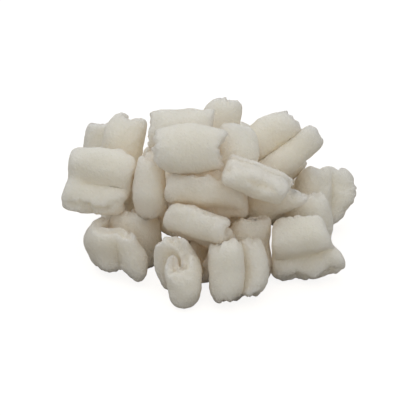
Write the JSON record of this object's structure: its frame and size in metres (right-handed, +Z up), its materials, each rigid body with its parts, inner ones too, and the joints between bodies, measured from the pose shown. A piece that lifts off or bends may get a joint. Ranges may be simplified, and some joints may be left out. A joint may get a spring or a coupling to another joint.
{
  "type": "packing peanut heap",
  "caption": "Loose heap of white foam packing peanuts, each a chopped length of a thick foam wall curled into lobes, swollen in the middle and ragged at its cut ends.",
  "frame": {"origin": "middle of the heap's own box, on the table it lies on", "axes": "+Z up from the table, -Y towards the side that the picture shows, +X to the right as seen from there"},
  "size_m": [0.1814, 0.1722, 0.0936],
  "materials": {
    "white_foam": "dull cellular foam skin"
  },
  "bodies": {
    "root": {"back_left": "white_foam", "back_left_inner": "white_foam", "back_right": "white_foam", "centre_block": "white_foam", "core_back": "white_foam", "core_far_left": "white_foam", "core_far_right": "white_foam", "core_front": "white_foam", "core_left": "white_foam", "core_middle": "white_foam", "crown_back": "white_foam", "crown_front": "white_foam", "crown_right": "white_foam", "front_curl": "white_foam", "front_left": "white_foam", "front_middle": "white_foam", "front_pair": "white_foam", "heart_back": "white_foam", "heart_front": "white_foam", "heart_left": "white_foam", "heart_right": "white_foam", "left_channel": "white_foam", "left_inner": "white_foam", "left_middle": "white_foam", "lower_block": "white_foam", "lower_dome": "white_foam", "rear_left": "white_foam", "rear_right": "white_foam", "rear_upper": "white_foam", "ridge": "white_foam", "right_far": "white_foam", "right_inner": "white_foam", "right_lying": "white_foam", "right_nose": "white_foam", "upper_dome": "white_foam"}
  },
  "joints": []
}
